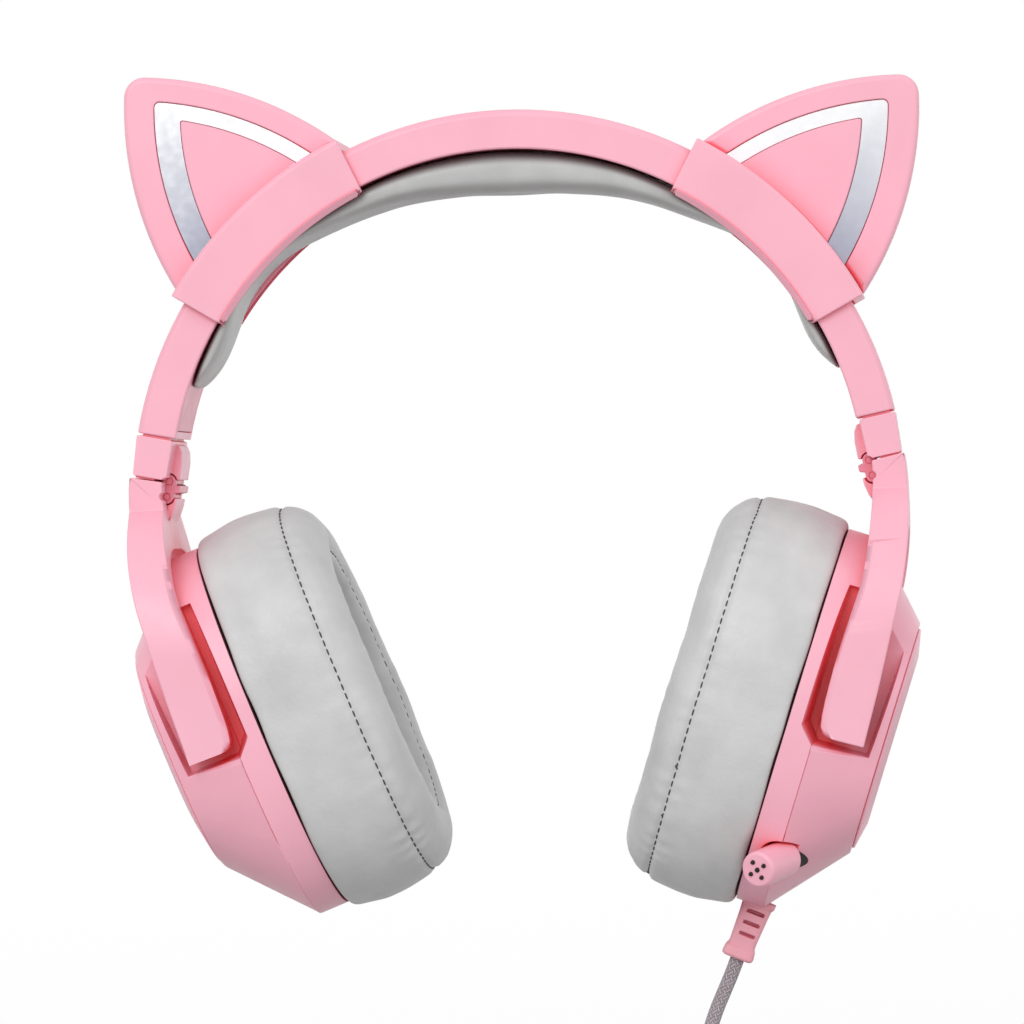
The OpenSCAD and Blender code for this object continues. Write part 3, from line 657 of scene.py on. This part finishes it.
def make_tongues(side):
    """Thin tongues that close the joints above and below the hinge."""
    half, thick, top = 17, 0.65, 92.2
    for name, u, low in (("upper", 0.05, 85.6), ("lower", 10.15, 87.6)):
        corners = [(x, y, r) for x in (u, u + thick) for y in (-half, half) for r in (low, top)]
        faces = [(0, 1, 3, 2), (4, 6, 7, 5), (0, 4, 5, 1), (2, 3, 7, 6), (0, 2, 6, 4), (1, 5, 7, 3)]
        tongue = mesh_object(f"joint_tongue_{name}_{side}", corners, faces, DEEP_PINK, mirror(side) @ at_slider())
        for poly in tongue.data.polygons:
            poly.use_smooth = False
        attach(tongue, "slider_" + side)


def make_rigid():
    """Every rigid piece. The edge that each is given is in mm."""
    rigid("headband_shell", PINK, 0.45)
    rigid("headband_inner_plate", DEEP_PINK, 0.25)
    for side in SIDES:
        rigid("ear_clip_" + side, CLIP_PINK, 0.35, [(clip_low, 1.5, 3)])
        rigid("ear_frame_" + side, PINK, 0.3, [(ear_rim(side), 1.4, 4)])
        rigid("ear_mirror_" + side, make_mirror(side), 0.15)
        rigid("ear_panel_" + side, PINK, 0.3)
        rigid("slider_strip_" + side, STEEL, 0.12)
        rigid("slider_block_" + side, PINK, 0.22)
        rigid("hinge_link_" + side, DEEP_PINK, 0.25)
        rigid("hinge_pins_" + side, DEEP_PINK, 0.15)
        rigid("yoke_" + side, PINK, 0.3, [(yoke_inner, 1.3, 1)], angle=58)
        rigid("pivot_pins_" + side, STEEL, 0.2)
        rigid("cup_shell_" + side, cup_pink(side), 0.2, [(recess_mouth(side), 1.2, 1)])
        rigid("cup_cover_" + side, PINK, 0.3)
        rigid("cup_ring_" + side, PINK, 0.12)
        for y, z in CUP_SCREWS:
            make_hole_end(side, y, z)
        rigid("baffle_" + side, BLACK, 0.2)
        rigid("driver_" + side, BLACK, 0.2)
        rigid("cup_screws_" + side, STEEL, 0.15)
        squeeze(rigid("gasket_" + side, RUBBER, 0.1), side)
        make_tongues(side)
        rigid("speaker_cloth_" + side, CLOTH, 0.1)
    rigid("mic_tip", PINK, 0.25)
    make_mic_details()
    rigid("mic_stem", RUBBER, 0.0)
    rigid("mic_bushing", HOLE, 0.2)
    rigid("circuit_board", BOARD, 0.1)
    rigid("volume_wheel", DEEP_PINK, 0.2)
    rigid("volume_potentiometer", BLACK, 0.2)
    rigid("mute_button", DEEP_PINK, 0.25)
    tie = rigid("cord_tie", RUBBER, 0.3)
    plug = rigid("plug_body", SOFT_PINK, 0.25)
    pin = rigid("plug_pin", PLUG_METAL, 0.1)
    # hidden in the headband, and shown as the CAD has it
    spring = NODES["headband_spring"].data.materials
    spring.clear()
    spring.append(STEEL)
    make_cord([make_strain_relief(), tie, plug, pin])


def make_strain_relief():
    """A boxy rubber sleeve with three cuts and a collar, between the cup and the cord."""
    lean = Matrix.Rotation(math.radians(RELIEF_LEAN), 4, "Y")
    place = at_cup("left") @ Matrix.Translation(RELIEF_AT) @ lean @ Matrix.Rotation(math.pi, 4, "X")
    around, rows, step = 64, [], 0.22
    cuts, cut_half, cut_depth, ramp = (2.6, 5.5, 8.4), 0.36, 1.7, 0.6
    # distance from the root, half width and half depth
    profile = [(-0.6, 4.3, 4.0), (0.5, 4.3, 4.0), (1.2, 3.8, 3.65), (4, 3.6, 3.5), (10.6, 3.3, 3.25),
        (11.4, 3.4, 3.3), (12.2, 3.8, 3.7), (13.9, 4.0, 3.85), (14.4, 3.8, 3.7), (14.7, 3.2, 3.1),
        (14.75, 1.9, 1.9)]
    fine = []
    for i in range(len(profile) - 1):
        a, b = profile[i], profile[i + 1]
        count = max(1, round((b[0] - a[0]) / step))
        fine += [tuple(x + (y - x) * k / count for x, y in zip(a, b)) for k in range(count)]
    fine.append(profile[-1])
    for along, w, d in fine:
        row = []
        cut = max(math.exp(-((along - c) / cut_half) ** 4) for c in cuts)
        for k in range(around):
            x, y = superoval(w, d, 6, math.tau * (k + 0.5) / around)
            reach = max(0.0, min(1.0, (x + 0.5 * w) / ramp)) * max(0.0, min(1.0, (0.72 * w - x) / ramp))
            y -= math.copysign(cut_depth * cut * reach, y) if abs(y) > 0.7 * d else 0
            row.append(Vector((x, y, along)))
        rows.append(row)
    sleeve = ring_mesh("strain_relief_sleeve", rows, SOFT_PINK, place, closed_rows=False)
    sleeve.data.set_sharp_from_angle(angle=math.radians(60))
    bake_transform(sleeve)
    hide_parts("strain_relief")
    return sleeve


def make_mic_details():
    """Dark discs in the tip's sound holes, painted shade for their depth: one in the middle and four round it."""
    turn = Matrix.Rotation(math.radians(MIC_TURN), 4, "Z")
    place = at_cup("left") @ Matrix.Translation(MIC_AT) @ turn @ Matrix.Rotation(math.radians(MIC_PITCH), 4, "X")
    sides, spread, behind, face = 20, 2.1, 12.6, 13.5
    spots = [(0, 0, 0.47)]
    for k in range(4):
        a = math.radians(45 + 90 * k)
        spots.append((spread * math.cos(a), spread * math.sin(a), 0.42))
    points, faces = [], []
    for x, y, r in spots:
        base = len(points)
        for z in (behind, face):
            points += [(x + r * math.cos(math.tau * k / sides), y + r * math.sin(math.tau * k / sides), z)
                for k in range(sides)]
        faces += [(base + k, base + (k + 1) % sides, base + sides + (k + 1) % sides, base + sides + k)
            for k in range(sides)]
        faces += [tuple(base + sides - 1 - k for k in range(sides)), tuple(base + sides + k for k in range(sides))]
    hole_shade = mesh_object("mic_hole_shade", points, faces, HOLE, place)
    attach(hole_shade, "microphone")


# ---------------------------------------------------------------- padded pieces
def fill_rows(stations, step):
    """Stations joined by straight steps no longer than step: (values, station number or None)."""
    out = []
    for i, a in enumerate(stations):
        b = stations[(i + 1) % len(stations)]
        out.append((a, i))
        count = max(1, math.ceil(max(abs(x - y) for x, y in zip(a, b)) / step))
        for k in range(1, count):
            out.append((tuple(x + (y - x) * k / count for x, y in zip(a, b)), None))
    return out


def add_cloth(obj, pinned, pressure):
    """Cloth that a pressure inside swells. pinned: {vertex: weight}."""
    group = obj.vertex_groups.new(name="pin")
    for v, w in pinned.items():
        group.add([v], w, "REPLACE")
    cloth = obj.modifiers.new("cloth", "CLOTH")
    st = cloth.settings
    st.quality = 5
    st.mass = 0.2
    st.tension_stiffness = st.compression_stiffness = 18
    st.shear_stiffness = 8
    st.bending_stiffness = 0.6
    st.use_pressure = True
    st.uniform_pressure_force = pressure
    st.vertex_group_mass = "pin"
    st.effector_weights.gravity = 0
    cloth.collision_settings.use_collision = False


def settle(objs, cap):
    """Runs the pressure on all of the pads at once, and keeps how they swell, up to cap mm."""
    scene = bpy.context.scene
    scene.frame_start, scene.frame_end = 1, 20
    for f in range(scene.frame_start, scene.frame_end + 1):
        scene.frame_set(f)
    graph = bpy.context.evaluated_depsgraph_get()
    for obj in objs:
        swollen = [v.co.copy() for v in obj.evaluated_get(graph).data.vertices]
        for v, new in zip(obj.data.vertices, swollen):
            move = new - v.co
            if move.length > cap * MM:
                move *= cap * MM / move.length
            v.co += move
    for obj in objs:
        obj.modifiers.remove(obj.modifiers["cloth"])
        obj.vertex_groups.clear()
    scene.frame_set(1)


def subdivide(obj):
    """One smooth subdivision, applied."""
    obj.modifiers.new("smooth", "SUBSURF").levels = 1
    graph = bpy.context.evaluated_depsgraph_get()
    mesh = bpy.data.meshes.new_from_object(obj.evaluated_get(graph))
    obj.modifiers.clear()
    obj.data = mesh


def seam_tree(points):
    """A KD tree over a closed seam, and the distance along the seam at each of its points."""
    fine, along, total = [], [], 0.0
    n = len(points)
    for i in range(n):
        a, b = points[i], points[(i + 1) % n]
        for k in range(6):
            fine.append(a.lerp(b, k / 6))
            along.append(total + (b - a).length * k / 6)
        total += (b - a).length
    tree = kdtree.KDTree(len(fine))
    for i, p in enumerate(fine):
        tree.insert(p, i)
    tree.balance()
    return tree, along, fine, total


def pucker(obj, seams, groove, gather, wrinkle, seed):
    """Sinks the seams, gathers the skin beside them and lays soft wrinkles over it, in mm."""
    gather_pitch = 4.6
    mesh = obj.data
    trees = [seam_tree(s) for s in seams]
    moves = []
    for v in mesh.vertices:
        move = 0.0
        near = 99.0
        for number, (tree, along, _, total) in enumerate(trees):
            _, i, d = tree.find(v.co)
            d /= MM
            near = min(near, d)
            count = round(total / MM / gather_pitch)
            s = along[i] / total * math.tau
            wave = math.sin(count * s + 1.4 * math.sin(7 * s + number + seed) + 0.8 * math.sin(17 * s))
            strong = 0.55 + 0.45 * math.sin(3 * s + seed) * math.sin(11 * s + 1)
            move -= groove * math.exp(-(d / 0.75) ** 2)
            move += gather * wave * strong * math.exp(-(d / 3.6) ** 2) * d / (d + 0.5)
        p = v.co / MM + Vector((seed * 31, 0, 0))
        soft = noise.noise(p / 13) * 0.7 + noise.noise(p / 5.5) * 0.3 * math.exp(-(near / 9) ** 2)
        moves.append(v.normal * (move + wrinkle * soft) * MM)
    for v, m in zip(mesh.vertices, moves):
        v.co += m


def stitches(name, obj, seam, length=1.75, pitch=2.3, radius=0.2):
    """Dashes of thread laid on the skin along a seam."""
    verts = obj.data.vertices
    skin = kdtree.KDTree(len(verts))
    for v in verts:
        skin.insert(v.co, v.index)
    skin.balance()
    _, along, fine, total = seam_tree(seam)
    count = round(total / MM / pitch)
    points, faces, spots = [], [], []
    steps, sides, crown, sunk = 6, 6, 0.16, 0.04
    for k in range(count * steps):
        i, j = divmod(k, steps)
        want = (i + j / (steps - 1) * length / pitch) / count * total
        a = bisect.bisect_right(along, want) - 1
        b = (a + 1) % len(fine)
        gap = (along[b] if b else total) - along[a]
        spots.append(fine[a].lerp(fine[b], min(1.0, (want - along[a]) / max(gap, 1e-9))))
    for i in range(count):
        path = []
        for k in range(steps):
            p = spots[i * steps + k]
            near = verts[skin.find(p)[1]]
            flat = p - near.normal * (p - near.co).dot(near.normal)
            rise = math.sin(math.pi * k / (steps - 1)) ** 0.5 * crown - sunk
            path.append((flat + near.normal * rise * MM, near.normal))
        base = len(points)
        for k, (p, up) in enumerate(path):
            ahead = (path[min(k + 1, steps - 1)][0] - path[max(k - 1, 0)][0]).normalized()
            side = ahead.cross(up).normalized()
            r = radius * (0.55 if k in (0, steps - 1) else 1.0)
            for j in range(sides):
                a = math.tau * j / sides
                points.append(p / MM + (side * math.cos(a) + up * math.sin(a) * 0.8) * r)
        for k in range(steps - 1):
            for j in range(sides):
                m = (j + 1) % sides
                faces.append((base + k * sides + j, base + k * sides + m, base + (k + 1) * sides + m,
                    base + (k + 1) * sides + j))
        faces.append(tuple(base + j for j in reversed(range(sides))))
        faces.append(tuple(base + (steps - 1) * sides + j for j in range(sides)))
    return mesh_object(name, points, faces, THREAD)


# Cushion: half width, half height and squareness of each outline, and its depth in front of the ring
CUSHION_ROWS = [(24.8, 32.8, 2.2, 0.9), (33, 41, 2.35, 0.65), (40.0, 47.4, 2.4, 0.4), (40.7, 48.6, 2.4, 1.4),
    (40.9, 49.2, 2.4, 5.5), (41.3, 49.8, 2.4, 9.5), (41.2, 49.7, 2.4, 14), (40.7, 49.1, 2.4, 18.5),
    (40.2, 48.5, 2.4, 21.3), (39.7, 47.9, 2.4, 22.4), (39.6, 47.7, 2.4, 23.5), (38.5, 46.5, 2.4, 26),
    (36.0, 44.0, 2.38, 28.4), (33.0, 41.0, 2.35, 29.8), (30.0, 38.0, 2.3, 30.2), (27.6, 35.6, 2.25, 29.9),
    (25.9, 33.9, 2.2, 29.2), (24.4, 32.4, 2.2, 29.1), (22.9, 30.9, 2.2, 27.6), (22.0, 30.0, 2.2, 24),
    (21.6, 29.6, 2.2, 16), (21.8, 29.8, 2.2, 8), (23.2, 31.2, 2.2, 2.6)]
OUTER_SEAM, INNER_SEAM = 9, 16


def cushion_shape(side):
    """An ear cushion before it swells, the vertices that the cloth keeps, and its two seams."""
    place = at_cup(side)
    around = 156
    filled = fill_rows(CUSHION_ROWS, 2.3)
    rows, pins, marks = [], {}, {}
    for r, ((a, b, e, n), station) in enumerate(filled):
        rows.append([Vector((-n, *superoval(a, b, e, math.tau * k / around))) for k in range(around)])
        if station is not None:
            marks[station] = r
    obj = ring_mesh("ear_cushion_" + side + "_skin", rows, CUSHION, place)
    # the rows against the ring, those deep in the opening, and the seams
    fixed = {marks[s]: 1.0 for s in (0, 1, 2, OUTER_SEAM, INNER_SEAM, 20, 21, 22)}
    for r in list(fixed):
        for near in (r - 1, r + 1):
            fixed.setdefault(near % len(rows), 0.35)
    for r, w in fixed.items():
        for k in range(around):
            pins[r * around + k] = w
    seams = [[place @ rows[marks[s]][k] * MM for k in range(around)] for s in (OUTER_SEAM, INNER_SEAM)]
    return obj, pins, seams


# Headband pad: angle from the top and thickness, as in the CAD, and the angle at which it ends
PAD_END = 69.9
PAD_UNDER = [(0, 10.9), (10, 9.8), (19, 7.8), (25, 6.6), (31, 5.4), (37, 3.8), (43, 2.2), (48, 1.6),
    (54, 2.4), (59, 3.7), (63, 4.1), (66, 3.5), (68.5, 2.2), (70, 0.8)]


def pad_thickness(a):
    """A smooth curve through PAD_UNDER."""
    a = min(abs(a), 69.999)  # just inside the last angle in the table
    i = max(k for k, (b, _) in enumerate(PAD_UNDER) if b <= a)
    p = [PAD_UNDER[max(0, min(len(PAD_UNDER) - 1, i + k))] for k in (-1, 0, 1, 2)]
    if i == 0:
        p[0] = (-p[2][0], p[2][1])
    t = (a - p[1][0]) / (p[2][0] - p[1][0])
    u, v = (p[2][1] - p[0][1]) / 2, (p[3][1] - p[1][1]) / 2
    h = 2 * t ** 3 - 3 * t * t
    return (1 + h) * p[1][1] + (t ** 3 - 2 * t * t + t) * u - h * p[2][1] + (t ** 3 - t * t) * v


def pad_shape():
    """The headband's pad before it swells, and the vertices that the cloth keeps."""
    top = BAND_IN - 0.15
    columns, around = 128, 48
    rows = []
    for i in range(columns + 1):
        deg = -PAD_END + 2 * PAD_END * i / columns
        a = math.radians(deg)
        sa, ca = math.sin(a), math.cos(a)
        # rounded at its ends, and thinner than the CAD's under the ear clips' lower ends
        end = max(0.0, (abs(deg) - 65.0) / 5.0)
        soft = math.sqrt(max(0.015, 1 - end * end))
        thin = 1 - 0.4 * math.exp(-((abs(deg) - 48) / 9) ** 2)
        t, half = pad_thickness(deg) * thin - 0.35, 16.5 * (0.6 + 0.4 * soft)
        row = []
        for k in range(around):
            y, h = superoval(half, 1, 3.2, math.tau * k / around)
            r = top - t * (1 - h) / 2
            row.append(Vector((r * sa, y, r * ca + ARC_Z)))
        rows.append(row)
    obj = ring_mesh("headband_pad_skin", rows, PAD, Matrix(), closed_rows=False)
    pins = {}
    for i in range(columns + 1):
        thin = max(0.0, min(1.0, (abs(-PAD_END + 2 * PAD_END * i / columns) - 24) / 12))
        for k in range(around):
            glued = math.sin(math.tau * k / around) > 0.45
            if thin or glued:
                pins[i * around + k] = 1.0 if glued else thin
    return obj, pins


def make_soft():
    """The ear cushions and the headband's pad, swelled by cloth simulation, and the cushions stitched."""
    cushions = {side: cushion_shape(side) for side in SIDES}
    pad, pad_pins = pad_shape()
    for obj, pins, _ in cushions.values():
        add_cloth(obj, pins, pressure=4.5)
    add_cloth(pad, pad_pins, pressure=4.0)
    settle([c[0] for c in cushions.values()] + [pad], cap=1.3)
    for number, (side, (obj, _, seams)) in enumerate(cushions.items()):
        subdivide(obj)
        pucker(obj, seams, groove=0.55, gather=0.3, wrinkle=0.55, seed=number + 1)
        for i, seam in enumerate(seams):
            thread = stitches(f"cushion_stitches_{side}_{i + 1}", obj, seam)
            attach(thread, "cup_" + side)
        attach(obj, "cup_" + side)
        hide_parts("ear_cushion_" + side)
    subdivide(pad)
    pucker(pad, [], groove=0, gather=0, wrinkle=0.35, seed=5)
    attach(pad, "headband")
    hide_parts("headband_pad")


make_rigid()
make_soft()


# ---------------------------------------------------------------- stage and light
def fade_by_height(tree, height, low, high, at_low, at_high):
    """The sky's strength from one height in the view's direction to another."""
    fade = tree.nodes.new("ShaderNodeMapRange")
    fade.interpolation_type = "SMOOTHSTEP"
    for key, value in (("From Min", low), ("From Max", high), ("To Min", at_low), ("To Max", at_high)):
        fade.inputs[key].default_value = value
    tree.links.new(height, fade.inputs["Value"])
    return fade.outputs[0]


def make_stage():
    """A pale floor, a soft grey studio that darkens below and overhead, and three soft lamps."""
    half, gap = 1.3, 0.0005
    bm = bmesh.new()
    bmesh.ops.create_grid(bm, x_segments=8, y_segments=8, size=half)
    mesh = bpy.data.meshes.new("floor")
    bm.to_mesh(mesh)
    bm.free()
    floor = link(bpy.data.objects.new("floor", mesh))
    floor.location.z = cad_box[0][2] - gap
    s = Shader("pale_floor").set(Roughness=0.7)
    s.use("Base Color", s.mix(s.noise(3, 2), rgb(224, 224, 224), rgb(230, 230, 230)))
    mesh.materials.append(s.material)
    floor.visible_diffuse = False

    world = bpy.data.worlds.new("studio")
    world.use_nodes = True
    tree = world.node_tree
    sky = tree.nodes["Background"]
    sky.inputs["Strength"].default_value = 1.0
    ray = tree.nodes.new("ShaderNodeTexCoord")
    axes = tree.nodes.new("ShaderNodeSeparateXYZ")
    both = tree.nodes.new("ShaderNodeMath")
    both.operation = "MULTIPLY"
    tree.links.new(ray.outputs["Generated"], axes.inputs[0])
    height = axes.outputs[2]
    tree.links.new(fade_by_height(tree, height, -0.45, -0.03, 0.36, 1.0), both.inputs[0])
    tree.links.new(fade_by_height(tree, height, 0.06, 0.5, 1.0, 0.6), both.inputs[1])
    tree.links.new(both.outputs[0], sky.inputs["Color"])
    bpy.context.scene.world = world

    aim = Vector((0, 0, -0.09))
    lamps = (("key", (-0.5, -1.6, 0.75), 0.9, 11),
        ("side", (1.2, -1.1, 0.5), 0.8, 2.5),
        ("top", (0.2, -0.2, 1.4), 1.2, 2))
    for name, place, size, watts in lamps:
        data = bpy.data.lights.new(name, "AREA")
        data.energy, data.size = watts, size
        lamp = link(bpy.data.objects.new(name, data))
        lamp.location = place
        lamp.rotation_euler = (aim - lamp.location).to_track_quat("-Z", "Y").to_euler()
    bpy.context.scene.view_settings.view_transform = "Standard"


make_stage()

bpy.context.view_layer.update()
